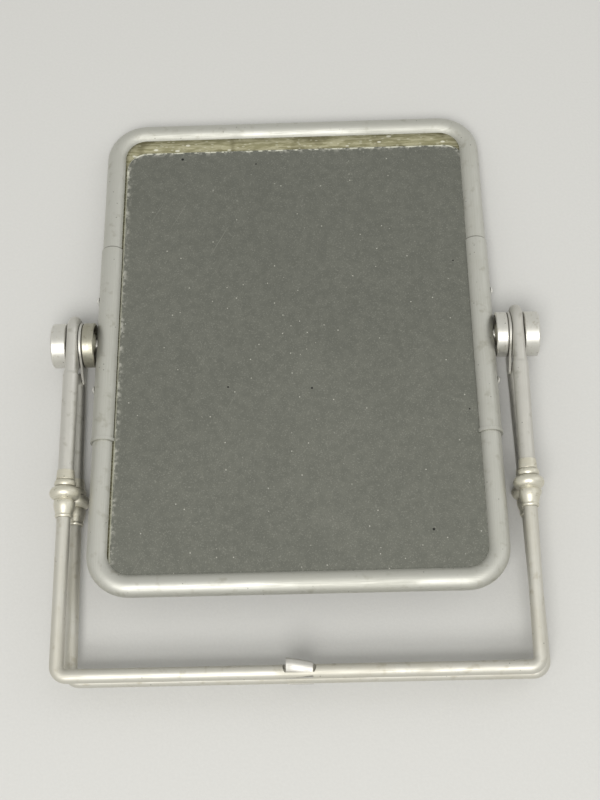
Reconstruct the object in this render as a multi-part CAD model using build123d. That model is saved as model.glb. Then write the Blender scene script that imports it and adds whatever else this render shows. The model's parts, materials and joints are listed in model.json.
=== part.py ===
from build123d import *
import os
from math import asin, atan2, cos, degrees, hypot, radians, sin

# Folding, extending shaving mirror, millimetres.  It lies folded: the glass faces +Z, its top points along +Y
# and the pivot axis runs along X.  Two U-shaped stand frames turn on the pivot axis, one in front of the other,
# and each telescopes.  Everything is built with the pivot axis as origin and moved to its place at the end.

# Mirror head
glass_width = 150.0
glass_height = 200.5
glass_thickness = 2.7
glass_bevel = 0.5
glass_side_room = 3.1         # centred glass to the centre lines of the side tubes
glass_end_room = 5.55         # and to those of the top and bottom tubes
glass_slip_x = 1.4            # the glass has slipped sideways and down in its channel
glass_slip_y = 4.6
card_thickness = 0.5
back_thickness = 0.5
back_inset = 0.7              # card and back plate end this far inside the bead's centre line
panel_step = 0.6              # the back plate's pressed panel stands out this far
panel_margin = 4.0            # rim bead to panel
panel_corner_step = 3.0       # the panel has a smaller corner radius than the sheet by this much
layer_gap = 0.05
slot_room = 0.2               # the channel is this much higher than its contents
rim_radius = 4.4              # rolled rim bead, outside
rim_wall = 0.6
rim_corner = 13.0             # bend radius of the bead's centre line
glass_corner_step = 4.0       # the glass has a smaller corner radius by this much
rim_joint_gap = 0.2           # between the upper and the lower half, under the sleeves
sleeve_wall = 0.45
sleeve_length = 90.5
sleeve_slot_step = 0.3        # the sleeve's open side is wider than the channel by this much each way
sleeve_lip = 0.4              # raised turn at the sleeve's lower end
sleeve_lip_length = 1.4
slide_fit = 0.02              # sleeve over rim, cup over stud
screw_spacing = 42.0
screw_shank = 0.8
screw_head = 1.65
screw_dome = 0.95
screw_length = 3.2

# Pivot stack, along X from the sleeve outwards
stud_radius = 2.5
stud_head = 2.95
stud_head_start = 0.5         # from the bead's centre line
bore_fit = 0.05               # running fit of eye and cup bores on the stud
disc_radius = 9.3             # cup and knob
cup_gap = 0.3                 # sleeve to cup rim
cup_depth = 4.75
cup_web = 1.5
cup_wall = 1.1
spring_thickness = 0.5
spring_small = 3.7
spring_room = 0.3             # round the stud and inside the cup
eye_gap = 0.12
rear_eye = 1.2                # thickness of the rear frame's eyes, thin blades on the inner side
front_eye = 4.7
washer_thickness = 0.25
washer_radius = 6.0
knob_gap = 0.05
knob_thickness = 6.75
knob_dome = 0.45
knob_edge = 0.5
knob_face = 1.45              # metal outside the blind threaded bore
thread_room = 0.3

# Stand frames
arm_radius = 3.15             # upper tube
arm_wall = 0.25
arm_offset = 7.45             # arm centre line from the pivot axis
eye_lobe_drop = 0.1           # the front eye's round end is this much lower than the tube's outer side
eye_lobe_shift = 2.0
eye_round = 2.25
eye_step = 0.2                # the front eye's stem is this much lower than the tube
blade_round = 0.4             # the rear eye, as large as the cup that it turns against
blade_step = 1.1
neck_length = 13.0            # pivot axis to the end of the eye's straight stem
nose_length = 4.5             # the tube's slim conical nose, which runs into the eye
nose_radius = 2.35
neck_plug = 2.5
bead_distance = 66.7          # pivot axis to the ferrule's large bead
bead_radius = 6.1
bead_clearance = 0.3          # between the front and the rear bead when folded
socket_depth = 2.0            # the arm ends this far below the large bead
socket_fit = 0.01
tube_room = 0.15              # radial, between the upper tube's bore and the lower, sliding tube
base_wall = 0.5
base_fit = 0.05               # running fit of the sliding tube in the ferrule
base_gap = 28.8               # the rim's lower edge to the base bar's centre line
base_bend = 4.0
plug_fit = 0.03
plug_length = 5.0
plug_spigot = 6.0
plug_room = 1.35              # above the guide plug, inside the arm
front_lean = -0.35            # degrees that the legs are set over to one side
rear_lean = 1.0
rear_inset = 0.65             # the rear legs stand this much nearer to the mirror

# Spring clip on the rear base bar
clip_width = 10.2
clip_thickness = 0.5
clip_fit = 0.1
saddle_length = 11.2          # flattened place in the front base bar
saddle_depth = 0.95
saddle_slope = 1.6
saddle_tilt = 35.0            # degrees that the saddle faces inwards
clip_start = 215.0            # where the strip starts round the rear bar, in degrees
clip_stand = 0.75             # how far the strip's web stands off its turn round the bar
clip_overlap = 2.9            # lip beyond the middle of the saddle
clip_corner = 0.9
clip_curl = 0.8

# Worked-out places
half_w = glass_width / 2 + glass_side_room
half_h = glass_height / 2 + glass_end_room
rim_slot = (glass_thickness + card_thickness + back_thickness + 2 * layer_gap + slot_room) / 2
sleeve_slot = rim_slot + sleeve_slot_step
sleeve_inner = rim_radius + slide_fit
sleeve_radius = sleeve_inner + sleeve_wall
sleeve_face = half_w + sleeve_radius
cup_face = sleeve_face + cup_gap
cup_outer = cup_face + cup_depth
rear_eye_in = cup_outer + 2 * eye_gap
rear_eye_out = rear_eye_in + rear_eye
front_eye_in = rear_eye_out + eye_gap
front_eye_out = front_eye_in + front_eye
washer_in = front_eye_out + knob_gap
knob_in = washer_in + washer_thickness + knob_gap
knob_out = knob_in + knob_thickness
arm_x = (front_eye_in + front_eye_out) / 2
eye_lobe = arm_offset + arm_radius - eye_lobe_drop
arm_bore = arm_radius - arm_wall
base_radius = arm_bore - tube_room
plug_radius = arm_bore - plug_fit
neck_end = neck_length + arm_radius + neck_plug
base_top = neck_end + plug_room + plug_length
base_distance = half_h + rim_radius + base_gap
# The folded frames lean towards each other until their large beads almost touch.
closed_angle = degrees(
    atan2(arm_offset, bead_distance)
    - asin((bead_radius + bead_clearance / 2) / hypot(arm_offset, bead_distance))
)
# The rear beads lie on the floor, and so does the head's top edge.
bead_drop = arm_offset * cos(radians(closed_angle)) - bead_distance * sin(radians(closed_angle))
pivot_z = bead_drop + bead_radius
head_tilt = degrees(asin((pivot_z - rim_radius) / half_h))
head_top = half_h * cos(radians(head_tilt)) + rim_radius
base_reach = (
    base_distance * cos(radians(closed_angle)) + arm_offset * sin(radians(closed_angle)) + base_radius
)
pivot_y = (base_reach - head_top) / 2

glass_z = rim_slot - slot_room / 2 - glass_thickness / 2
card_z = glass_z - glass_thickness / 2 - layer_gap - card_thickness / 2
back_z = card_z - card_thickness / 2 - layer_gap - back_thickness / 2


def place(shape):
    """From pivot coordinates to the row's own."""
    return Pos(0, pivot_y, pivot_z) * shape


def place_head(shape):
    """The head lies tilted, with its top edge down."""
    return place(Rot(-head_tilt, 0, 0) * shape)


def place_frame(shape, front):
    """A frame is built with its arms at z = +arm_offset; the rear one is turned over and faces down."""
    turned = shape if front else mirror(shape, about=Plane.XY)
    return place(Rot(closed_angle if front else -closed_angle, 0, 0) * turned)


def x_cylinder(radius, start, end):
    """Round bar along X."""
    return Pos((start + end) / 2, 0, 0) * Rot(0, 90, 0) * Cylinder(radius, end - start)


def x_turned(points):
    """Solid turned about the X axis from points of (distance along X, radius)."""
    with BuildPart() as turned:
        with BuildSketch(Plane.XY):
            with BuildLine():
                Polyline(*points, close=True)
            make_face()
        revolve(axis=Axis.X)
    return turned.part


def channel_section(plane, outer, inner, slot):
    """Round bead in section, open towards the glass."""
    ring = Circle(outer) - Circle(inner)
    ring -= Pos(outer, 0) * Rectangle(2 * outer, 2 * slot)
    return plane * ring


def rim_half(side):
    """Half of the rolled rim; side is +1 for the upper half and -1 for the lower."""
    start = side * rim_joint_gap / 2
    end = side * half_h
    bend = side * rim_corner
    turn = rim_corner * (1 - cos(radians(45)))
    path = Polyline((-half_w, start), (-half_w, end - bend))
    path += ThreePointArc(
        (-half_w, end - bend),
        (-half_w + turn, end - side * turn),
        (-half_w + rim_corner, end),
    )
    path += Line((-half_w + rim_corner, end), (half_w - rim_corner, end))
    path += ThreePointArc(
        (half_w - rim_corner, end),
        (half_w - turn, end - side * turn),
        (half_w, end - bend),
    )
    path += Line((half_w, end - bend), (half_w, start))
    plane = Plane(origin=(-half_w, start, 0), x_dir=(1, 0, 0), z_dir=(0, side, 0))
    half = sweep(
        channel_section(plane, rim_radius, rim_radius - rim_wall, rim_slot), path=Wire(path.edges())
    )
    for hand in (-1, 1):
        half -= x_cylinder(stud_radius + slide_fit, *sorted((hand * half_w, hand * cup_outer)))
        half -= side_holes(hand)
    return half


def side_holes(hand):
    """Bores of the sleeve screws on one side."""
    holes = []
    for end in (-1, 1):
        bore = x_cylinder(screw_shank + slide_fit, *sorted((hand * half_w, hand * cup_outer)))
        holes.append(Pos(0, end * screw_spacing / 2, 0) * bore)
    return holes


def sleeve(hand):
    """Open sleeve over the joint of the two rim halves, with a raised lower end."""
    def tube(outer, length, centre):
        plane = Plane(origin=(0, centre - length / 2, 0), x_dir=(-hand, 0, 0), z_dir=(0, 1, 0))
        return extrude(channel_section(plane, outer, sleeve_inner, sleeve_slot), length)

    body = tube(sleeve_radius, sleeve_length, 0)
    lip_centre = (sleeve_lip_length - sleeve_length) / 2
    body += tube(sleeve_radius + sleeve_lip, sleeve_lip_length, lip_centre)
    body = Pos(hand * half_w, 0, 0) * body
    body -= x_cylinder(stud_radius + slide_fit, *sorted((hand * half_w, hand * cup_outer)))
    for hole in side_holes(hand):
        body -= hole
    return body


def sleeve_screw(hand, end):
    """Domed screw through sleeve and rim."""
    inner = sleeve_face - screw_length
    top = sleeve_face + screw_dome
    dome_radius = (screw_head**2 + screw_dome**2) / (2 * screw_dome)
    half_angle = asin(screw_head / dome_radius) / 2
    shoulder = (top - dome_radius * (1 - cos(half_angle)), dome_radius * sin(half_angle))
    with BuildPart() as turned:
        with BuildSketch(Plane.XY):
            with BuildLine():
                shank = Polyline(
                    (top, 0), (inner, 0), (inner, screw_shank), (sleeve_face, screw_shank),
                    (sleeve_face, screw_head),
                )
                ThreePointArc(shank @ 1, shoulder, (top, 0))
            make_face()
        revolve(axis=Axis.X)
    screw = Pos(0, end * screw_spacing / 2, 0) * turned.part
    return screw if hand > 0 else mirror(screw, about=Plane.YZ)


def plate(width, height, thickness, corner):
    """Flat plate with round corners, about its centre."""
    return extrude(RectangleRounded(width, height, corner), thickness / 2, both=True)


def glass():
    """Silvered glass with a small ground edge."""
    sheet = plate(glass_width, glass_height, glass_thickness, rim_corner - glass_corner_step)
    sheet = chamfer(sheet.faces().sort_by(Axis.Z)[-1].edges(), glass_bevel)
    return Pos(glass_slip_x, -glass_slip_y, glass_z) * sheet


def back_sheet(thickness, height):
    """Card or metal back, as large as the channel takes."""
    width = 2 * (half_w - back_inset)
    length = 2 * (half_h - back_inset)
    return Pos(0, 0, height) * plate(width, length, thickness, rim_corner - back_inset)


def back_plate():
    """Metal back with a shallow pressed panel, hollow on the inner side."""
    sheet = back_sheet(back_thickness, back_z)
    room = rim_radius + panel_margin
    width = 2 * (half_w - room)
    length = 2 * (half_h - room)
    corner = rim_corner - back_inset - panel_corner_step
    drop = (panel_step + back_thickness) / 2
    panel = Pos(0, 0, back_z - drop + back_thickness / 2) * plate(width, length, 2 * drop, corner)
    hollow = plate(
        width - 2 * back_thickness, length - 2 * back_thickness, 2 * drop, corner - back_thickness
    )
    return sheet + panel - Pos(0, 0, back_z - drop + 3 * back_thickness / 2) * hollow


def pivot_stud():
    """Stud with its head inside the rim, on the +X side."""
    head_face = half_w + stud_head_start
    shank = x_cylinder(stud_radius, head_face, knob_out - knob_face - thread_room)
    head = x_cylinder(stud_head, head_face, sleeve_face)
    inside = Pos(half_w, 0, 0) * Rot(90, 0, 0) * Cylinder(rim_radius - rim_wall - slide_fit, 3 * stud_head)
    return shank + (head & inside)


def friction_cup():
    """Turned cup, open towards the mirror, with the spring inside."""
    bore = stud_radius + slide_fit
    hollow = disc_radius - cup_wall
    edge = 0.35
    return x_turned(
        [
            (cup_face, hollow),
            (cup_face, disc_radius - edge),
            (cup_face + edge, disc_radius),
            (cup_outer - edge, disc_radius),
            (cup_outer, disc_radius - edge),
            (cup_outer, bore),
            (cup_outer - cup_web, bore),
            (cup_outer - cup_web, hollow),
        ]
    )


def cone_spring():
    """Cone spring between the sleeve and the cup's web."""
    small_end = sleeve_face + 0.05
    large_end = cup_outer - cup_web - 0.05
    spring_bore = stud_radius + spring_room
    spring_large = disc_radius - cup_wall - spring_room
    return x_turned(
        [
            (small_end, spring_bore),
            (small_end, spring_small),
            (large_end - spring_thickness, spring_large),
            (large_end, spring_large),
            (large_end, spring_large - spring_thickness),
            (small_end + spring_thickness, spring_bore),
        ]
    )


def washer():
    """Flat washer between the front eye and the knob."""
    ring = x_cylinder(washer_radius, washer_in, washer_in + washer_thickness)
    return ring - x_cylinder(stud_radius + slide_fit, washer_in - 1, washer_in + 1)


def knob():
    """Round clamping nut with a faintly domed face."""
    blind = knob_out - knob_face
    thread = stud_radius + slide_fit
    return x_turned(
        [
            (knob_in, thread),
            (knob_in, disc_radius - knob_edge),
            (knob_in + knob_edge, disc_radius),
            (knob_out - knob_dome - knob_edge, disc_radius),
            (knob_out - knob_dome, disc_radius - knob_edge),
            (knob_out - knob_dome / 4, disc_radius * 0.55),
            (knob_out, disc_radius * 0.2),
            (knob_out, 0),
            (blind, 0),
            (blind, thread),
        ]
    )


def leg_x(front, hand):
    """A leg's centre line at its neck, along the pivot axis."""
    return hand * (arm_x if front else arm_x - rear_inset)


def leg_location(front, hand):
    """Origin at the neck of one arm, with -Y along the leg."""
    lean = front_lean if front else rear_lean
    return Pos(leg_x(front, hand), -neck_length, arm_offset) * Rot(0, 0, lean)


def along_leg(radius, start, end):
    """Round bar along a leg, between two distances from the pivot axis."""
    middle = neck_length - (start + end) / 2
    return Pos(0, middle, 0) * Rot(90, 0, 0) * Cylinder(radius, end - start)


def eye_plate(inner, outer, hand, lobe, stem_height, rounding):
    """Pressed eye: the hull of its round lobe and of the stem that runs into the tube."""
    stem = Pos(-neck_length - neck_plug / 2, arm_offset) * Rectangle(neck_plug, stem_height)
    outline = make_hull((lobe + stem).edges())
    plane = Plane(origin=(hand * inner, 0, 0), x_dir=(0, 1, 0), z_dir=(1, 0, 0))
    eye = extrude(plane * outline, hand * (outer - inner))
    sides = eye.faces().sort_by(Axis.X)
    eye = fillet(sides[0].edges() + sides[-1].edges(), rounding)
    return eye - x_cylinder(stud_radius + bore_fit, *sorted((hand * (inner - 1), hand * (outer + 1))))


def tube_nose():
    """The tube's closed upper end: a slim cone with a ball end."""
    slope = (arm_radius - nose_radius) / nose_length
    centre = nose_length - nose_radius * slope
    ball = nose_radius * hypot(1, slope)
    with BuildPart() as turned:
        with BuildSketch(Plane.XY):
            with BuildLine():
                side = Polyline((0, 0), (arm_radius, 0), (nose_radius, nose_length))
                tip = ThreePointArc(
                    side @ 1, (ball * sin(radians(45)), centre + ball * cos(radians(45))), (0, centre + ball)
                )
                Line(tip @ 1, (0, 0))
            make_face()
        revolve(axis=Axis.Y)
    return Pos(0, -arm_radius, 0) * turned.part


def arm(front, hand):
    """Upper tube with its pressed eye."""
    if front:
        lobe = Pos(eye_lobe_shift, 0) * Circle(eye_lobe)
        eye = eye_plate(front_eye_in, front_eye_out, hand, lobe, 2 * (arm_radius - eye_step), eye_round)
    else:
        lobe = Circle(disc_radius)
        eye = eye_plate(rear_eye_in, rear_eye_out, hand, lobe, 2 * (arm_radius - blade_step), blade_round)
    tube = along_leg(arm_radius, neck_length + arm_radius, bead_distance + socket_depth)
    tube += tube_nose()
    tube -= along_leg(arm_bore, neck_end, bead_distance + socket_depth + 1)
    return eye + leg_location(front, hand) * tube


def ferrule(front, hand):
    """Turned collar that carries the sliding tube: two rings, a large bead and a bell."""
    bore = arm_radius + socket_fit
    throat = base_radius + base_fit
    with BuildPart() as turned:
        with BuildSketch(Plane.XY):
            with BuildLine():
                top = Line((bore, 9.4), (arm_radius + 0.3, 9.4))
                ring = Line(top @ 1, (arm_radius + 0.6, 5.7))
                groove = Line(ring @ 1, (arm_radius + 0.3, 5.3))
                small = Line(groove @ 1, (arm_radius + 0.8, 5.1))
                small_bead = ThreePointArc(
                    small @ 1, (arm_radius + 1.2, 3.9), (arm_radius + 0.8, 2.75)
                )
                neck = Line(small_bead @ 1, (arm_radius + 0.55, 2.45))
                step = Line(neck @ 1, (bead_radius - 1.6, 2.3))
                bead = ThreePointArc(step @ 1, (bead_radius, 0), (bead_radius - 1.6, -2.3))
                waist = Line(bead @ 1, (arm_radius + 0.75, -2.75))
                bell = Spline(
                    waist @ 1,
                    (arm_radius + 1.1, -4.6),
                    (arm_radius + 0.55, -7.2),
                    (arm_radius + 0.2, -8.7),
                )
                lip = ThreePointArc(bell @ 1, (arm_radius + 0.4, -9.35), (arm_radius + 0.05, -10.0))
                end = Line(lip @ 1, (throat, -10.0))
                inside = Line(end @ 1, (throat, -socket_depth))
                shoulder = Line(inside @ 1, (bore, -socket_depth))
                Line(shoulder @ 1, top @ 0)
            make_face()
        revolve(axis=Axis.Y)
    collar = Pos(0, neck_length - bead_distance, 0) * turned.part
    return leg_location(front, hand) * collar


def leg_point(front, hand, distance):
    """A point on a leg's centre line, at a distance from the pivot axis measured square to it."""
    lean = radians(front_lean if front else rear_lean)
    return Vector(
        leg_x(front, hand) + (distance - neck_length) * sin(lean) / cos(lean), -distance, arm_offset
    )


def base_tube(front):
    """Sliding U tube: two legs and the base bar; the front one has the clip's saddle."""
    points = [
        leg_point(front, -1, base_top),
        leg_point(front, -1, base_distance),
        leg_point(front, 1, base_distance),
        leg_point(front, 1, base_top),
    ]
    path = FilletPolyline(*points, radius=base_bend)
    plane = Plane(origin=points[0], z_dir=points[1] - points[0])
    tube = sweep(plane * Circle(base_radius), path=path)
    bore = sweep(plane * Circle(base_radius - base_wall), path=path)
    if not front:
        return tube - bore
    centre = (0, -base_distance, arm_offset)
    block = x_cylinder(base_radius, -saddle_length, saddle_length)
    solid_middle = Pos(*centre) * block
    return (tube - bore + solid_middle) - Pos(*centre) * saddle_cutter()


def saddle_cutter():
    """Wedge-ended block that leaves the flattened saddle, on the upper inner side of the bar."""
    low = base_radius - saddle_depth
    half = saddle_length / 2
    high = base_radius + 1.0
    outline = Polyline(
        (-half, low), (half, low), (half + saddle_slope, high), (-half - saddle_slope, high), close=True
    )
    block = extrude(make_face(Plane.XZ * outline), 2 * base_radius, both=True)
    return Rot(-saddle_tilt, 0, 0) * block


def guide_plugs(front):
    """Guide plugs pressed into the upper ends of a sliding tube."""
    plugs = []
    for hand in (-1, 1):
        head = along_leg(plug_radius, base_top - plug_length, base_top)
        spigot = along_leg(base_radius - base_wall, base_top - 1, base_top + plug_spigot)
        plugs.append(leg_location(front, hand) * (head + spigot))
    return plugs


def frame_point(front, distance, offset):
    """A point of a folded frame as (y, z) in pivot coordinates."""
    side = 1 if front else -1
    angle = radians(closed_angle)
    y = -distance * cos(angle) - offset * sin(angle)
    z = offset * cos(angle) - distance * sin(angle)
    return y, side * z


def latch_clip():
    """Bent spring strip: round the rear base bar, up its inner side and over the front bar's saddle."""
    y, rear_z = frame_point(False, base_distance, arm_offset)
    front_z = frame_point(True, base_distance, arm_offset)[1]
    wrap = base_radius + clip_fit
    # The lip lies along the saddle: a line clip_fit above it, tilted as the saddle is.
    lift = base_radius - saddle_depth + clip_fit
    web = wrap + clip_stand
    along = Vector(-cos(radians(saddle_tilt)), sin(radians(saddle_tilt)))
    normal = Vector(sin(radians(saddle_tilt)), cos(radians(saddle_tilt)))
    foot = normal * lift + Vector(0, front_z - rear_z)
    corner = foot + along * ((web - foot.X) / along.X)
    tip = foot + along * clip_overlap
    wrapped = CenterArc((0, 0), wrap, clip_start, 360 - clip_start)
    upper = FilletPolyline(wrapped @ 1, corner, tip, radius=clip_corner)
    curl = JernArc(upper @ 1, upper % 1, clip_curl, 120)
    strip = offset(Wire([wrapped, *upper.edges(), curl]), clip_thickness, side=Side.RIGHT)
    plane = Plane(origin=(-clip_width / 2, y, rear_z), x_dir=(0, 1, 0), z_dir=(1, 0, 0))
    return extrude(plane * make_face(strip), clip_width)


def build():
    """All nodes, in the row's own coordinates."""
    nodes = {
        "upper_rim": place_head(rim_half(1)),
        "lower_rim": place_head(rim_half(-1)),
        "mirror_glass": place_head(glass()),
        "backing_card": place_head(back_sheet(card_thickness, card_z)),
        "back_plate": place_head(back_plate()),
    }
    screws = []
    for hand, side in ((-1, "left"), (1, "right")):
        nodes[f"{side}_sleeve"] = place_head(sleeve(hand))
        screws += [place_head(sleeve_screw(hand, end)) for end in (-1, 1)]
        stack = {
            "pivot_stud": pivot_stud(),
            "friction_cup": friction_cup(),
            "cone_spring": cone_spring(),
            "washer": washer(),
            "knob": knob(),
        }
        for name, piece in stack.items():
            turned = piece if hand > 0 else mirror(piece, about=Plane.YZ)
            nodes[f"{side}_{name}"] = place_head(turned)
    nodes["sleeve_screws"] = Compound(children=screws)
    for front, frame in ((True, "front"), (False, "rear")):
        for hand, side in ((-1, "left"), (1, "right")):
            nodes[f"{frame}_{side}_arm"] = place_frame(arm(front, hand), front)
            nodes[f"{frame}_{side}_ferrule"] = place_frame(ferrule(front, hand), front)
        nodes[f"{frame}_base_bar"] = place_frame(base_tube(front), front)
        plugs = [place_frame(plug, front) for plug in guide_plugs(front)]
        nodes[f"{frame}_guide_plugs"] = Compound(children=plugs)
    nodes["latch_clip"] = place(latch_clip())
    return nodes


os.makedirs("parts", exist_ok=True)
for name, shape in build().items():
    export_step(shape, f"parts/{name}.step")
print("pivot axis y, z:", round(pivot_y, 4), round(pivot_z, 4))
print("closed angle, head tilt:", round(closed_angle, 4), round(head_tilt, 4))
print("arm centre x:", round(arm_x, 4), "knob face x:", round(knob_out, 4))
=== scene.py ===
"""Looks of the folding, extending shaving mirror: satin metal, old glass, turned pivots, and the stage."""

import json
import math

import bpy
import numpy as np
from mathutils import Matrix, Vector


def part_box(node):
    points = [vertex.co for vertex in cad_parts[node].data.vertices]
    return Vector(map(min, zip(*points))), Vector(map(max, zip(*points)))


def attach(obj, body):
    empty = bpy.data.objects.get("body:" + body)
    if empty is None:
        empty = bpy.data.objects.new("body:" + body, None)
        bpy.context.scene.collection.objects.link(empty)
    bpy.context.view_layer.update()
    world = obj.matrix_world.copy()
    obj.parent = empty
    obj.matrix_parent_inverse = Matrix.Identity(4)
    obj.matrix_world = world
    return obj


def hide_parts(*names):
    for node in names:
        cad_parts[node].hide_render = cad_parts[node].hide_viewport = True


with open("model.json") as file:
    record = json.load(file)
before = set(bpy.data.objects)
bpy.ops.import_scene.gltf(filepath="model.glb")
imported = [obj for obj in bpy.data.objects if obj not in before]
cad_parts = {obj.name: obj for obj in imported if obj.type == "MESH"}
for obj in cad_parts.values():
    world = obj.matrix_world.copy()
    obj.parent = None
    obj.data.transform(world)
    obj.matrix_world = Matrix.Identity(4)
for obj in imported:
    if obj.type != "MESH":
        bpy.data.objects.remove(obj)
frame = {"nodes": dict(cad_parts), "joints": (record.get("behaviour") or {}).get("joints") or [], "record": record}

bl_info = {
    "name": "Extending Shaving Mirror",
    "version": (1, 0, 0),
    "blender": (4, 5, 0),
    "location": "3D View > Sidebar > Mirror",
    "description": "Finishes for the rim, glass, pivots and telescoping frames of a shaving mirror",
    "category": "Object",
}

MM = 0.001
RECORD = frame["record"]
JOINTS = {joint["name"]: joint for joint in frame["joints"]}
MOUNTS = {mount["name"]: mount for mount in RECORD["mounts"]}
PIVOT = Vector(JOINTS["mirror_tilt"]["pos_m"])
HEAD_TILT = math.asin(-MOUNTS["back_face"]["axis"][1])
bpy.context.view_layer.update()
SIDES = ("left", "right")
FRAMES = ("front", "rear")

# Grain, in cycles per metre: across it, along it, and on turned pieces. The last is per radian.
FINE_GRAIN = 2600.0
LONG_GRAIN = 90.0
TURNED_GRAIN = 3200.0
TURNED_SWEEP = 0.9

# Places where the silver is lost, in millimetres from the middle of the glass: X, Y and radius.
LOST_SPOTS = (
    (-29.0, -17.4, 0.55),
    (5.4, -18.8, 0.6),
    (51.8, -81.3, 0.7),
    (-50.3, 96.2, 0.8),
    (-17.6, 92.6, 0.45),
    (66.5, 40.0, 0.5),
    (69.0, -30.0, 0.45),
)

# The latch strip's fixed shape: its wrap's start and its curl's end in degrees, how quickly its
# lean changes over its width, the lip's shortening at the right, and the lip's rise and fall.
WRAP_START = -150.0
CURL_END = 110.0
LEAN_POWER = 1.3
LIP_SHORTENING = 0.12
LIP_RISE = 0.35
LIP_FALL = 0.11

# Lamps: name, place in metres, width in metres, power in watts, and colour.
LAMPS = (
    ("Key", (-0.12, -0.92, 1.35), 0.9, 17.0, (1.0, 0.985, 0.95)),
    ("Fill", (1.10, 0.35, 0.8), 1.2, 2.0, (1.0, 1.0, 0.98)),
)
# The point that the camera looks at.
LOOK_AT = PIVOT + Vector((1.72, -26.94, 0.0)) * MM


# Node materials ---------------------------------------------------------------------------------


class Finish:
    """One procedural material: a Principled shader and short words for the nodes that feed it."""

    def __init__(self, name, metallic=1.0, **constants):
        self.material = bpy.data.materials.new(name)
        self.material.use_nodes = True
        tree = self.material.node_tree
        self.nodes = tree.nodes
        self.links = tree.links
        self.shader = self.nodes["Principled BSDF"]
        self.shader.inputs["Metallic"].default_value = metallic
        for socket, value in constants.items():
            self.shader.inputs[socket.replace("_", " ")].default_value = value

    def feed(self, socket, value):
        """Links an output to a socket, or sets a plain number or colour on it."""
        if isinstance(value, bpy.types.NodeSocket):
            self.links.new(value, socket)
        elif socket.type == "RGBA" and len(value) == 3:
            socket.default_value = (*value, 1.0)
        else:
            socket.default_value = value

    def add(self, kind, **settings):
        node = self.nodes.new(kind)
        for name, value in settings.items():
            setattr(node, name, value)
        return node

    def place(self, centre=(0, 0, 0), turn=(0, 0, 0), scale=(1, 1, 1)):
        """Object coordinates from a centre, turned, then stretched."""
        coordinates = self.add("ShaderNodeTexCoord").outputs["Object"]
        moved = self.vector("SUBTRACT", coordinates, tuple(centre))
        turned = self.add("ShaderNodeMapping")
        self.feed(turned.inputs["Vector"], moved)
        turned.inputs["Rotation"].default_value = turn
        return self.vector("MULTIPLY", turned.outputs["Vector"], scale)

    def vector(self, operation, first, second=None):
        node = self.add("ShaderNodeVectorMath", operation=operation)
        self.feed(node.inputs[0], first)
        if second is not None:
            self.feed(node.inputs[1], second)
        return node.outputs["Value" if operation in ("LENGTH", "DISTANCE") else "Vector"]

    def split(self, vector):
        node = self.add("ShaderNodeSeparateXYZ")
        self.feed(node.inputs[0], vector)
        return node.outputs[0], node.outputs[1], node.outputs[2]

    def join(self, x, y, z):
        node = self.add("ShaderNodeCombineXYZ")
        for socket, value in zip(node.inputs, (x, y, z)):
            self.feed(socket, value)
        return node.outputs[0]

    def number(self, operation, first, second=0.0, third=0.0):
        node = self.add("ShaderNodeMath", operation=operation)
        for socket, value in zip(node.inputs, (first, second, third)):
            self.feed(socket, value)
        return node.outputs[0]

    def span(self, value, low, high, start=0.0, end=1.0):
        """Smooth step: value at low gives start, at high gives end."""
        node = self.add("ShaderNodeMapRange", interpolation_type="SMOOTHSTEP")
        for socket, number in zip(node.inputs, (value, low, high, start, end)):
            self.feed(socket, number)
        return node.outputs[0]

    def noise(self, vector, scale=1.0, detail=3.0, distortion=0.0):
        node = self.add("ShaderNodeTexNoise")
        self.feed(node.inputs["Vector"], vector)
        node.inputs["Scale"].default_value = scale
        node.inputs["Detail"].default_value = detail
        node.inputs["Distortion"].default_value = distortion
        return node.outputs["Fac"]

    def specks(self, vector, scale, radius, share):
        """Round specks: in a share of the cells, 1 inside the radius and 0 outside."""
        node = self.add("ShaderNodeTexVoronoi")
        self.feed(node.inputs["Vector"], vector)
        node.inputs["Scale"].default_value = scale
        dot = self.span(node.outputs["Distance"], radius, radius * 0.6)
        chosen = self.number("LESS_THAN", self.split(node.outputs["Color"])[0], share)
        return self.number("MULTIPLY", dot, chosen)

    def mix(self, factor, first, second):
        node = self.add("ShaderNodeMix", data_type="RGBA", clamp_factor=True)
        self.feed(node.inputs["Factor"], factor)
        self.feed(node.inputs[6], first)
        self.feed(node.inputs[7], second)
        return node.outputs[2]

    def crevice(self, distance):
        """1 in tight corners and 0 on open faces, from ambient occlusion; used for painted shade."""
        node = self.add("ShaderNodeAmbientOcclusion", samples=6)
        node.inputs["Distance"].default_value = distance
        return self.span(node.outputs["AO"], 0.75, 0.25)

    def bump(self, height, depth, under=None):
        """Relief of a depth in metres, on top of the relief under it."""
        node = self.add("ShaderNodeBump")
        node.inputs["Distance"].default_value = depth
        self.feed(node.inputs["Height"], height)
        if under is not None:
            self.feed(node.inputs["Normal"], under)
        return node.outputs[0]

    def finish(self, colour, roughness, normal):
        self.feed(self.shader.inputs["Base Color"], colour)
        self.feed(self.shader.inputs["Roughness"], roughness)
        self.feed(self.shader.inputs["Normal"], normal)
        return self.material


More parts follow.
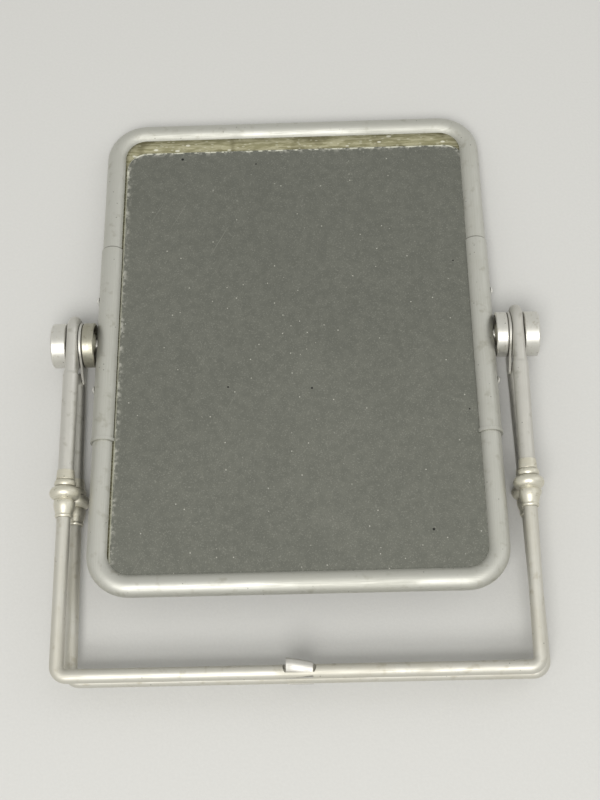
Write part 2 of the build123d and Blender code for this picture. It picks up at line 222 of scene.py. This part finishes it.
def worn_metal(name, look, grain, patches, line=None):
    """Satin metal: fine grain, dull patches, small dark specks, and painted shade in the corners.

    grain is a function that gives the grain's coordinates, and patches is the number of patches
    per metre. line, if given, is a function that gives the strength of a dark line, from 0 to 1.
    """
    made = Finish(name)
    fine = made.noise(grain(made), detail=4.0)
    cloud = made.noise(made.place(scale=(patches,) * 3), detail=5.0, distortion=0.6)
    mottle = made.noise(made.place(scale=(9 * patches,) * 3), detail=4.0)
    dull = made.span(cloud, 0.42, 0.68)
    spots = made.specks(made.place(), scale=520.0, radius=0.16, share=0.10)
    # Painted shade: ambient occlusion darkens tight corners and grooves.
    corner_shade = made.crevice(look.corner_shade_reach)
    colour = made.mix(made.span(fine, 0.3, 0.7, 0.0, 0.3), look.metal, look.dull)
    colour = made.mix(made.number("MULTIPLY", dull, 0.55), colour, look.dull)
    colour = made.mix(made.span(mottle, 0.56, 0.74, 0.0, 0.5), colour, look.stain)
    colour = made.mix(made.number("MULTIPLY", spots, 0.55), colour, look.dirt_and_shade)
    # Painted corner shade, mixed towards the dark colour that the specks also use.
    colour = made.mix(made.number("MULTIPLY", corner_shade, 0.7), colour, look.dirt_and_shade)
    if line is not None:
        colour = made.mix(line(made), colour, look.dirt_and_shade)
    roughness = made.span(fine, 0.25, 0.75, look.roughness - 0.05, look.roughness + 0.07)
    roughness = made.number("MULTIPLY_ADD", dull, 0.1, roughness)
    roughness = made.number("MULTIPLY_ADD", corner_shade, 0.2, roughness)
    dents = made.noise(made.place(scale=(140,) * 3), detail=2.0)
    normal = made.bump(dents, look.dent_depth)
    normal = made.bump(fine, look.grain_depth, under=normal)
    return made.finish(colour, roughness, normal)


def grain_along(axis, tilt=0.0):
    """Grain drawn out along one axis: 0 for X, 1 for Y, 2 for Z."""
    def coordinates(made):
        scale = [FINE_GRAIN] * 3
        scale[axis] = LONG_GRAIN
        return made.place(turn=(tilt, 0, 0), scale=scale)
    return coordinates


def grain_round_frame(centre, half_width, half_height, tilt):
    """Grain that follows a rectangular frame: along X on its top and bottom, along Y on its sides."""
    def coordinates(made):
        x, y, z = made.split(made.place(centre=centre, turn=(tilt, 0, 0)))
        beyond_x = made.number("SUBTRACT", made.number("ABSOLUTE", x), half_width)
        beyond_y = made.number("SUBTRACT", made.number("ABSOLUTE", y), half_height)
        on_side = made.number("GREATER_THAN", beyond_x, beyond_y)
        on_end = made.number("SUBTRACT", 1.0, on_side)
        scale_x = made.number("MULTIPLY_ADD", on_end, LONG_GRAIN - FINE_GRAIN, FINE_GRAIN)
        scale_y = made.number("MULTIPLY_ADD", on_side, LONG_GRAIN - FINE_GRAIN, FINE_GRAIN)
        return made.join(
            made.number("MULTIPLY", x, scale_x),
            made.number("MULTIPLY", y, scale_y),
            made.number("MULTIPLY", z, FINE_GRAIN),
        )
    return coordinates


def grain_turned(centre, axis):
    """Turning marks: the grain depends on the place along the axis and on the distance from it."""
    def coordinates(made):
        across = list(made.split(made.place(centre=centre)))
        along = across.pop(axis)
        squares = [made.number("MULTIPLY", part, part) for part in across]
        radius = made.number("SQRT", made.number("ADD", *squares))
        turn = made.number("ARCTAN2", *across)
        return made.join(
            made.number("MULTIPLY", along, TURNED_GRAIN),
            made.number("MULTIPLY", radius, TURNED_GRAIN),
            made.number("MULTIPLY", turn, TURNED_SWEEP),
        )
    return coordinates


def dress(material, *names):
    """Gives CAD nodes one material."""
    for name in names:
        piece = frame["nodes"][name]
        piece.data.materials.clear()
        piece.data.materials.append(material)


# Sizes and colours that a user would change ------------------------------------------------------


def colour_property(name, description, default):
    return bpy.props.FloatVectorProperty(
        name=name, description=description, subtype="COLOR", size=3, min=0.0, max=1.0, default=default
    )


def length_property(name, description, default):
    return bpy.props.FloatProperty(
        name=name, description=description, subtype="DISTANCE", unit="LENGTH", min=0.0, default=default
    )


def share_property(name, description, default):
    return bpy.props.FloatProperty(
        name=name, description=description, subtype="FACTOR", min=0.0, max=1.0, default=default
    )


class MetalLook(bpy.types.PropertyGroup):
    """Colours and surface of one metal finish."""

    metal: colour_property("Metal", "Clean metal", (0.60, 0.60, 0.56))
    dull: colour_property("Dull", "Dulled metal", (0.54, 0.54, 0.495))
    stain: colour_property("Stain", "Tarnish", (0.42, 0.41, 0.35))
    # Dark colour of the specks, which is also the colour of the painted corner shade.
    dirt_and_shade: colour_property("Dirt", "Dark specks and painted corner shade", (0.09, 0.085, 0.065))
    roughness: share_property("Roughness", "Roughness of the clean metal", 0.56)
    grain_depth: length_property("Grain Depth", "Depth of the grain", 0.012 * MM)
    dent_depth: length_property("Dent Depth", "Depth of shallow dents", 0.12 * MM)
    # How far the painted corner shade reaches from a corner.
    corner_shade_reach: length_property("Corner Shade Reach", "How far the painted corner shade reaches", 1.2 * MM)


class GlassLook(bpy.types.PropertyGroup):
    """The old silvered glass."""

    silver: colour_property("Silver", "Dulled silver", (0.162, 0.168, 0.148))
    haze: colour_property("Haze", "Dusty film", (0.178, 0.181, 0.152))
    dust: colour_property("Dust", "Dust specks", (0.62, 0.61, 0.55))
    ground: colour_property("Ground Edge", "Ground edge of the glass", (0.36, 0.36, 0.28))
    chip: colour_property("Chip", "Bright chips along the ground edge", (0.78, 0.78, 0.66))
    spot: colour_property("Spot", "Lost silver", (0.02, 0.02, 0.018))
    film: share_property("Film", "Share of the dusty film", 0.35)
    corner: length_property("Corner", "Corner radius of the glass", 9.0 * MM)


class CardLook(bpy.types.PropertyGroup):
    """The backing card."""

    card: colour_property("Card", "Yellowed card", (0.45, 0.43, 0.29))
    fibre: colour_property("Fibre", "Darker fibres", (0.29, 0.275, 0.165))
    stain: colour_property("Stain", "Damp stains", (0.14, 0.125, 0.065))
    fleck: colour_property("Fleck", "Pale flecks", (0.60, 0.59, 0.46))
    flake: colour_property("Flake", "Flakes of loose silver", (0.82, 0.81, 0.70))


class StripShape(bpy.types.PropertyGroup):
    """Sizes of the latch's bent strip."""

    thickness: length_property("Thickness", "Thickness of the strip", 0.45 * MM)
    wrap_radius: length_property("Wrap Radius", "Bar centre to the middle of the strip", 3.1 * MM)
    lean_left: length_property("Left Lean", "How far in the web stands at the left", 4.7 * MM)
    lean_right: length_property("Right Lean", "How far in the web stands at the right", 3.0 * MM)
    crown_drop: length_property("Crown Drop", "How much lower the strip is at the right", 0.5 * MM)
    corner: length_property("Corner", "Size of the rounded corner", 1.0 * MM)
    lip_reach: length_property("Lip Reach", "How far the lip passes the bar's middle", 1.2 * MM)
    lip_angle: bpy.props.FloatProperty(
        name="Lip Angle", description="Slope of the lip in degrees", default=20.0, min=0.0, max=60.0
    )
    curl: length_property("Curl", "Radius of the curled end", 0.45 * MM)


class StageLook(bpy.types.PropertyGroup):
    """Floor, light and camera."""

    floor: colour_property("Floor", "Floor colour", (0.60, 0.60, 0.59))
    sky: colour_property("Sky", "Light from all round", (0.92, 0.915, 0.875))
    sky_strength: share_property("Sky Strength", "Strength of the light from all round", 0.70)
    floor_size: length_property("Floor Size", "Side of the floor", 6.0)
    distance: length_property("Distance", "Camera to the object", 574.8 * MM)
    lens: bpy.props.FloatProperty(name="Lens", description="Focal length", default=63.0, min=1.0)
    azimuth: bpy.props.FloatProperty(
        name="Azimuth", description="Camera's turn about the vertical", subtype="ANGLE",
        default=math.radians(-3.65),
    )
    elevation: bpy.props.FloatProperty(
        name="Elevation", description="Camera's height angle", subtype="ANGLE", default=math.radians(68.6)
    )
    roll: bpy.props.FloatProperty(
        name="Roll", description="Camera's roll", subtype="ANGLE", default=math.radians(-4.87)
    )


class MirrorLooks(bpy.types.PropertyGroup):
    """Every look of the mirror."""

    rim: bpy.props.PointerProperty(type=MetalLook)
    tube: bpy.props.PointerProperty(type=MetalLook)
    base: bpy.props.PointerProperty(type=MetalLook)
    turned: bpy.props.PointerProperty(type=MetalLook)
    sheet: bpy.props.PointerProperty(type=MetalLook)
    spring: bpy.props.PointerProperty(type=MetalLook)
    cup: bpy.props.PointerProperty(type=MetalLook)
    collar: bpy.props.PointerProperty(type=MetalLook)
    screw: bpy.props.PointerProperty(type=MetalLook)
    strip: bpy.props.PointerProperty(type=StripShape)
    card: bpy.props.PointerProperty(type=CardLook)
    glass: bpy.props.PointerProperty(type=GlassLook)
    stage: bpy.props.PointerProperty(type=StageLook)


# Operators ---------------------------------------------------------------------------------------


class MirrorOperator(bpy.types.Operator):
    """Shared parts of the finishing operators."""

    bl_options = {"REGISTER", "UNDO"}

    def execute(self, context):
        self.make(context.scene.mirror_looks)
        return {"FINISHED"}


class MIRROR_OT_rim(MirrorOperator):
    """Satin finish that follows the rolled rim, and the sleeves"""

    bl_idname = "mirror.rim"
    bl_label = "Rim and Sleeves"

    def make(self, looks):
        low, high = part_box("lower_rim")[0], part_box("upper_rim")[1]
        centre = (low + high) / 2
        grain = grain_round_frame(centre, (high.x - low.x) / 2, (high.y - low.y) / 2, HEAD_TILT)
        sleeve_low, sleeve_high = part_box("left_sleeve")
        sleeve_half = (sleeve_high.y - sleeve_low.y) / 2

        def sleeve_end(made):
            """Dark line on the rim just above the sleeves' upper ends."""
            y = made.split(made.place(centre=PIVOT, turn=(HEAD_TILT, 0, 0)))[1]
            beyond = made.number("ABSOLUTE", made.number("SUBTRACT", y, sleeve_half + 0.1 * MM))
            return made.span(beyond, 0.55 * MM, 0.25 * MM, 0.0, 0.55)

        rolled = worn_metal("Satin rim", looks.rim, grain, patches=28.0, line=sleeve_end)
        dress(rolled, "upper_rim", "lower_rim")
        sleeve = worn_metal("Satin sleeve", looks.rim, grain_along(1, HEAD_TILT), patches=30.0)
        dress(sleeve, *(f"{side}_sleeve" for side in SIDES))


class MIRROR_OT_glass(MirrorOperator):
    """Old silvered glass: dusty film, faint streaks and scratches, lost silver at its edge"""

    bl_idname = "mirror.glass"
    bl_label = "Glass"

    def make(self, looks):
        look = looks.glass
        made = Finish("Old silvered glass", metallic=1.0, IOR=1.5)
        low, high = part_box("mirror_glass")
        centre = (low + high) / 2
        half = (high - low) / 2
        flat = made.place(centre=centre, turn=(HEAD_TILT, 0, 0))
        x, y = made.split(flat)[:2]
        edge = self.edge_distance(made, x, y, half.x, half.y / math.cos(HEAD_TILT), look.corner)
        # 1 near the glass's upper edge, where the ground edge is chipped most.
        top = made.span(y, half.y - 16.0 * MM, half.y - 8.0 * MM, 0.2, 1.0)
        # Painted reflection: a gradient that makes the glass lighter towards the bottom.
        film = self.film(made, flat, centre, made.span(y, half.y, -half.y, 0.0, 0.12), look.film)
        cuts = self.scratches(made, centre)
        dust = self.dust(made, flat, edge, cuts)
        lost = self.lost_silver(made, flat, x, y, edge)
        ground = made.span(edge, -0.62 * MM, -0.5 * MM)
        chips = made.number("MULTIPLY", self.blots(made, flat, 900.0, 3.0, 0.50, 0.62), top)
        worn = made.number("MULTIPLY", made.span(edge, -1.5 * MM, -0.7 * MM),
                           self.blots(made, flat, 360.0, 4.0, 0.44, 0.56))
        worn = made.number("MULTIPLY", worn, top)
        colour = made.mix(film, look.silver, look.haze)
        colour = made.mix(made.number("MULTIPLY", dust, 0.55), colour, look.dust)
        colour = made.mix(lost, colour, look.spot)
        colour = made.mix(ground, colour, made.mix(chips, look.ground, look.chip))
        colour = made.mix(made.number("MULTIPLY", worn, 0.75), colour, look.chip)
        rough = made.number("MAXIMUM", ground, worn)
        covered = made.number("MAXIMUM", film, made.number("MAXIMUM", dust, rough))
        clean = made.number("MAXIMUM", made.number("SUBTRACT", 1.0, covered), 0.0)
        made.feed(made.shader.inputs["Metallic"], clean)
        roughness = made.number("MULTIPLY_ADD", rough, 0.4, made.span(film, 0.0, 0.6, 0.22, 0.42))
        normal = made.bump(dust, 0.02 * MM, under=made.bump(cuts, -0.01 * MM))
        dress(made.finish(colour, roughness, normal), "mirror_glass")

    def edge_distance(self, made, x, y, half_x, half_y, corner):
        """Distance to the edge of a rounded rectangle, negative inside."""
        over_x = made.number("SUBTRACT", made.number("ABSOLUTE", x), half_x - corner)
        over_y = made.number("SUBTRACT", made.number("ABSOLUTE", y), half_y - corner)
        outside = made.vector("LENGTH", made.join(
            made.number("MAXIMUM", over_x, 0.0), made.number("MAXIMUM", over_y, 0.0), 0.0
        ))
        inside = made.number("MINIMUM", made.number("MAXIMUM", over_x, over_y), 0.0)
        return made.number("SUBTRACT", made.number("ADD", outside, inside), corner)

    def blots(self, made, flat, scale, detail, low, high):
        """Ragged blots: 1 where a noise is above high, 0 where it is below low."""
        return made.span(made.noise(flat, scale=scale, detail=detail), low, high)

    def film(self, made, flat, centre, painted_reflection_gradient, share):
        """Dusty film in wide clouds and slanting streaks, plus a painted reflection gradient: the film grows
        heavier, and the glass lighter, towards the bottom.
        """
        cloud = made.noise(flat, scale=14.0, detail=4.0)
        slant = made.place(centre=centre, turn=(0, 0, math.radians(25)), scale=(9, 60, 1))
        streaks = made.span(made.noise(slant, detail=2.0), 0.60, 0.78)
        mottle = made.noise(flat, scale=340.0, detail=6.0)
        film = made.span(cloud, 0.35, 0.7, share * 0.9, share * 1.1)
        # Painted reflection gradient, heavier towards the bottom.
        film = made.number("ADD", film, painted_reflection_gradient)
        film = made.number("MULTIPLY_ADD", streaks, 0.10, film)
        return made.number("ADD", film, made.span(mottle, 0.36, 0.64, -0.06, 0.08))

    def scratches(self, made, centre):
        """Thin slanting scratches."""
        slant = made.place(centre=centre, turn=(0, 0, math.radians(-62)), scale=(20, 2400, 1))
        return made.span(made.noise(slant, detail=1.0), 0.76, 0.82)

    def dust(self, made, flat, edge, cuts):
        """Dust: small and large specks, fine grains, and what lies in scratches and by the edge."""
        small = made.specks(flat, scale=900.0, radius=0.20, share=0.2)
        large = made.specks(flat, scale=300.0, radius=0.10, share=0.30)
        grains = made.noise(flat, scale=1900.0, detail=3.0)
        shore = made.number("MULTIPLY", made.span(edge, -3.2 * MM, -0.8 * MM),
                            self.blots(made, flat, 520.0, 4.0, 0.48, 0.62))
        dust = made.number("MAXIMUM", made.number("MULTIPLY", small, 0.35), large)
        dust = made.number("MAXIMUM", dust, made.span(grains, 0.52, 0.78, 0.0, 0.4))
        dust = made.number("MAXIMUM", dust, made.number("MULTIPLY", cuts, 0.5))
        return made.number("MAXIMUM", dust, made.number("MULTIPLY", shore, 0.75))

    def lost_silver(self, made, flat, x, y, edge):
        """Lost silver: a few pinholes, the larger spots, and a ragged line past the edge."""
        lost = made.specks(flat, scale=34.0, radius=0.035, share=0.05)
        for across, along, size in LOST_SPOTS:
            reach = made.vector("DISTANCE", made.join(x, y, 0.0), (across * MM, along * MM, 0.0))
            spot = made.span(reach, size * MM, 0.5 * size * MM)
            lost = made.number("MAXIMUM", lost, spot)
        ragged = made.number(
            "MULTIPLY_ADD", made.noise(flat, scale=420.0, detail=4.0), 2.2 * MM, edge
        )
        margin = made.span(ragged, 0.1 * MM, 1.1 * MM)
        return made.number("MAXIMUM", lost, made.number("MULTIPLY", margin, 0.6))


class MIRROR_OT_card(MirrorOperator):
    """Yellowed card behind the glass"""

    bl_idname = "mirror.card"
    bl_label = "Backing Card"

    def make(self, looks):
        look = looks.card
        made = Finish("Yellowed card", metallic=0.0, Specular_IOR_Level=0.2)
        fibre = made.noise(made.place(scale=(160, 1000, 160)), detail=6.0)
        stain = made.noise(made.place(), scale=70.0, detail=5.0, distortion=1.0)
        fleck = made.specks(made.place(scale=(0.45, 1.0, 1.0)), scale=900.0, radius=0.34, share=0.42)
        flake = made.specks(made.place(scale=(0.5, 1.0, 1.0)), scale=420.0, radius=0.28, share=0.22)
        colour = made.mix(made.span(fibre, 0.42, 0.58), look.card, look.fibre)
        colour = made.mix(made.span(stain, 0.5, 0.7, 0.0, 0.6), colour, look.stain)
        colour = made.mix(made.number("MULTIPLY", fleck, 0.6), colour, look.fleck)
        colour = made.mix(made.number("MULTIPLY", flake, 0.8), colour, look.flake)
        roughness = made.span(fibre, 0.2, 0.8, 0.8, 0.95)
        dress(made.finish(colour, roughness, made.bump(fibre, 0.05 * MM)), "backing_card")


class MIRROR_OT_back(MirrorOperator):
    """Plain sheet back with its grain drawn upright"""

    bl_idname = "mirror.back"
    bl_label = "Back Plate"

    def make(self, looks):
        sheet = worn_metal("Sheet back", looks.sheet, grain_along(1, HEAD_TILT), patches=22.0)
        dress(sheet, "back_plate")


class MIRROR_OT_pivots(MirrorOperator):
    """Turned cups, studs, springs, washers and knobs about the pivot axis, and the sleeve screws"""

    bl_idname = "mirror.pivots"
    bl_label = "Pivots and Knobs"

    def make(self, looks):
        turned = worn_metal("Turned metal", looks.turned, grain_turned(PIVOT, 0), patches=70.0)
        clean = ("pivot_stud", "washer", "knob")
        dress(turned, "right_friction_cup", *(f"{side}_{piece}" for side in SIDES for piece in clean))
        stained = worn_metal("Stained cup", looks.cup, grain_turned(PIVOT, 0), patches=90.0)
        dress(stained, "left_friction_cup", *(f"{side}_cone_spring" for side in SIDES))
        screws = worn_metal("Bright screws", looks.screw, grain_along(0), patches=200.0)
        dress(screws, "sleeve_screws")


class MIRROR_OT_arms(MirrorOperator):
    """Drawn upper tubes with their pressed eyes"""

    bl_idname = "mirror.arms"
    bl_label = "Arms"

    def make(self, looks):
        drawn = worn_metal("Drawn tube", looks.tube, grain_along(1), patches=34.0)
        dress(drawn, *(f"{part}_{side}_arm" for part in FRAMES for side in SIDES))


class MIRROR_OT_ferrules(MirrorOperator):
    """Turned collars, with their marks round each leg"""

    bl_idname = "mirror.ferrules"
    bl_label = "Ferrules"

    def make(self, looks):
        for part in FRAMES:
            for side in SIDES:
                name = f"{part}_{side}_ferrule"
                low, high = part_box(name)
                marks = grain_turned((low + high) / 2, 1)
                collar = worn_metal(f"Turned {part} {side} collar", looks.collar, marks, patches=80.0)
                dress(collar, name)


class MIRROR_OT_bases(MirrorOperator):
    """Sliding U tubes and their guide plugs"""

    bl_idname = "mirror.bases"
    bl_label = "Base Bars"

    def make(self, looks):
        for part in FRAMES:
            low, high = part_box(f"{part}_base_bar")
            centre = Vector(((low.x + high.x) / 2, high.y, (low.z + high.z) / 2))
            grain = grain_round_frame(centre, (high.x - low.x) / 2, high.y - low.y, 0.0)
            sliding = worn_metal(f"Sliding {part} tube", looks.base, grain, patches=30.0)
            dress(sliding, f"{part}_base_bar", f"{part}_guide_plugs")


def strip_surface(look, rows, columns):
    """Grid of points on the middle of the latch strip, as arrays over width (u) and length (v).

    In section the strip runs round the rear bar on an arc, up a straight web, over a rounded corner
    (a parabola between the web and the lip) and along a lip, a second parabola that ends in a small
    upward arc. Across the width the web's lean goes from its left value to its right one by a power
    of u, the crown drops in a straight line and the lip gets a little shorter.
    """
    bar = Vector(JOINTS["clip_swing"]["pos_m"])
    low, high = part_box("latch_clip")
    u = np.linspace(0.0, 1.0, rows)[:, None]
    x = low.x + (high.x - low.x) * u
    radius = look.wrap_radius
    lean = look.lean_left + (look.lean_right - look.lean_left) * u ** LEAN_POWER
    crown = high.z - look.thickness - bar.z - look.crown_drop * u
    turn = np.radians(np.linspace(WRAP_START, 0.0, columns))[None, :]
    wrap_y, wrap_z = radius * np.cos(turn), radius * np.sin(turn)
    v = np.linspace(0.0, 1.0, columns)[None, :]
    bend = look.corner
    web_y = radius + (lean - radius) * v
    web_z = (crown - bend) * v
    tilt = math.radians(look.lip_angle)
    bend_y = lean * (1 - v) ** 2 + 2 * lean * v * (1 - v) + (lean - bend * math.cos(tilt)) * v ** 2
    bend_z = (crown - bend) * (1 - v) ** 2 + 2 * crown * v * (1 - v) + crown * v ** 2
    reach = (lean + look.lip_reach * (1 - LIP_SHORTENING * u)) * v
    lip_y = lean - bend * math.cos(tilt) - reach
    lip_z = crown + math.sin(tilt) * LIP_RISE * reach - LIP_FALL * reach ** 2 / MM
    roll = np.radians(CURL_END) * v
    curl_y = lip_y[:, -1:] - look.curl * np.sin(roll)
    curl_z = lip_z[:, -1:] + look.curl * (1 - np.cos(roll))
    span = np.ones_like(u)
    y = np.hstack([span * wrap_y, web_y[:, 1:], bend_y[:, 1:], lip_y[:, 1:], curl_y[:, 1:]])
    z = np.hstack([span * wrap_z, web_z[:, 1:], bend_z[:, 1:], lip_z[:, 1:], curl_z[:, 1:]])
    return np.stack([x * np.ones_like(y), bar.y + y, bar.z + z], axis=-1)


def grid_piece(name, points):
    """Mesh of a grid of points, one quad between each four neighbours."""
    rows, columns = points.shape[:2]
    index = np.arange(rows * columns).reshape(rows, columns)
    quads = np.stack([index[:-1, :-1], index[:-1, 1:], index[1:, 1:], index[1:, :-1]], axis=-1)
    mesh = bpy.data.meshes.new(name)
    mesh.from_pydata(points.reshape(-1, 3).tolist(), [], quads.reshape(-1, 4).tolist())
    mesh.polygons.foreach_set("use_smooth", np.ones(len(mesh.polygons), dtype=bool))
    piece = bpy.data.objects.new(name, mesh)
    bpy.context.scene.collection.objects.link(piece)
    return piece


class MIRROR_OT_clip(MirrorOperator):
    """Hand-bent spring strip of the latch, which stands higher at its left end"""

    bl_idname = "mirror.clip"
    bl_label = "Latch Clip"

    def make(self, looks):
        look = looks.strip
        piece = grid_piece("latch_strip", strip_surface(look, rows=24, columns=14))
        wall = piece.modifiers.new("Wall", "SOLIDIFY")
        wall.thickness = look.thickness
        wall.offset = 0.0
        edge = piece.modifiers.new("Edge", "BEVEL")
        edge.width = 0.08 * MM
        edge.segments = 2
        edge.limit_method = "ANGLE"
        strip = worn_metal("Spring strip", looks.spring, grain_along(0), patches=120.0)
        piece.data.materials.append(strip)
        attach(piece, "clip")
        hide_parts("latch_clip")


class MIRROR_OT_stage(MirrorOperator):
    """Pale floor, soft studio light and camera"""

    bl_idname = "mirror.stage"
    bl_label = "Stage"

    def make(self, looks):
        look = looks.stage
        floor = bpy.data.meshes.new("Floor")
        half = look.floor_size / 2
        corners = [(-half, -half, 0), (half, -half, 0), (half, half, 0), (-half, half, 0)]
        floor.from_pydata(corners, [], [(0, 1, 2, 3)])
        made = Finish("Pale floor", metallic=0.0)
        tone = made.noise(made.place(), scale=900.0, detail=4.0)
        colour = made.mix(tone, look.floor, tuple(0.94 * c for c in look.floor))
        roughness = made.span(tone, 0.3, 0.7, 0.75, 0.9)
        floor.materials.append(made.finish(colour, roughness, made.bump(tone, 0.05 * MM)))
        ground = bpy.data.objects.new("Floor", floor)
        bpy.context.scene.collection.objects.link(ground)
        for name, spot, size, power, colour in LAMPS:
            light = bpy.data.lights.new(name, "AREA")
            light.shape = "DISK"
            light.size = size
            light.energy = power
            light.color = colour
            lamp = bpy.data.objects.new(name, light)
            bpy.context.scene.collection.objects.link(lamp)
            lamp.location = spot
            lamp.rotation_euler = (-Vector(spot)).to_track_quat("-Z", "Y").to_euler()
        world = bpy.data.worlds.new("Soft light")
        world.use_nodes = True
        backdrop = world.node_tree.nodes["Background"]
        backdrop.inputs["Color"].default_value = (*look.sky, 1.0)
        backdrop.inputs["Strength"].default_value = look.sky_strength
        bpy.context.scene.world = world
        bpy.context.scene.view_settings.view_transform = "Standard"
        self.camera(look)

    def camera(self, look):
        """The camera looks down on the mirror from its base side."""
        flat = math.cos(look.elevation)
        forward = Vector((math.sin(look.azimuth) * flat, math.cos(look.azimuth) * flat,
                          -math.sin(look.elevation)))
        right = Vector((math.cos(look.azimuth), -math.sin(look.azimuth), 0.0))
        up = right.cross(forward)
        image_right = math.cos(look.roll) * right + math.sin(look.roll) * up
        image_up = -math.sin(look.roll) * right + math.cos(look.roll) * up
        place = LOOK_AT - forward * look.distance
        axes = Matrix((image_right, image_up, -forward)).transposed()
        data = bpy.data.cameras.new("Camera")
        data.lens = look.lens
        data.clip_start = 0.01
        camera = bpy.data.objects.new("Camera", data)
        camera.matrix_world = Matrix.Translation(place) @ axes.to_4x4()
        bpy.context.scene.collection.objects.link(camera)
        bpy.context.scene.camera = camera


class MIRROR_PT_panel(bpy.types.Panel):
    """The mirror's operators, in the 3D view's sidebar"""

    bl_label = "Shaving Mirror"
    bl_space_type = "VIEW_3D"
    bl_region_type = "UI"
    bl_category = "Mirror"

    def draw(self, context):
        for operator in OPERATORS:
            self.layout.operator(operator.bl_idname)


OPERATORS = (
    MIRROR_OT_rim,
    MIRROR_OT_glass,
    MIRROR_OT_card,
    MIRROR_OT_back,
    MIRROR_OT_pivots,
    MIRROR_OT_arms,
    MIRROR_OT_ferrules,
    MIRROR_OT_bases,
    MIRROR_OT_clip,
    MIRROR_OT_stage,
)
CLASSES = (
    MetalLook,
    GlassLook,
    CardLook,
    StripShape,
    StageLook,
    MirrorLooks,
    *OPERATORS,
    MIRROR_PT_panel,
)


def register():
    for each in CLASSES:
        bpy.utils.register_class(each)
    bpy.types.Scene.mirror_looks = bpy.props.PointerProperty(type=MirrorLooks)


def unregister():
    del bpy.types.Scene.mirror_looks
    for each in reversed(CLASSES):
        bpy.utils.unregister_class(each)


def set_looks(looks):
    """Sets the finishes that differ from the satin rim's defaults."""
    looks.tube.metal = (0.66, 0.65, 0.61)
    looks.tube.dull = (0.58, 0.57, 0.53)
    looks.tube.roughness = 0.48
    looks.base.metal = (0.66, 0.65, 0.60)
    looks.base.dull = (0.59, 0.57, 0.50)
    looks.base.stain = (0.46, 0.43, 0.34)
    looks.base.roughness = 0.56
    looks.turned.metal = (0.74, 0.73, 0.69)
    looks.turned.dull = (0.70, 0.69, 0.63)
    looks.turned.stain = (0.48, 0.45, 0.36)
    looks.turned.roughness = 0.38
    looks.turned.dent_depth = 0.03 * MM
    looks.collar.metal = (0.74, 0.72, 0.63)
    looks.collar.dull = (0.62, 0.59, 0.49)
    looks.collar.stain = (0.40, 0.36, 0.26)
    looks.collar.roughness = 0.46
    looks.collar.dent_depth = 0.03 * MM
    # A longer reach of painted shade in the collars' grooves.
    looks.collar.corner_shade_reach = 2.4 * MM
    looks.cup.metal = (0.44, 0.43, 0.36)
    looks.cup.dull = (0.40, 0.38, 0.30)
    looks.cup.stain = (0.20, 0.18, 0.12)
    looks.cup.roughness = 0.42
    looks.screw.metal = (0.92, 0.91, 0.87)
    looks.screw.dull = (0.82, 0.81, 0.76)
    looks.screw.roughness = 0.25
    looks.spring.metal = (0.54, 0.53, 0.50)
    looks.spring.dull = (0.40, 0.39, 0.37)
    looks.spring.roughness = 0.46
    looks.sheet.metal = (0.42, 0.42, 0.40)
    looks.sheet.dull = (0.33, 0.33, 0.31)
    looks.sheet.roughness = 0.45


def main():
    register()
    set_looks(bpy.context.scene.mirror_looks)
    for operator in OPERATORS:
        group, name = operator.bl_idname.split(".")
        getattr(getattr(bpy.ops, group), name)()


if __name__ == "__main__":
    main()
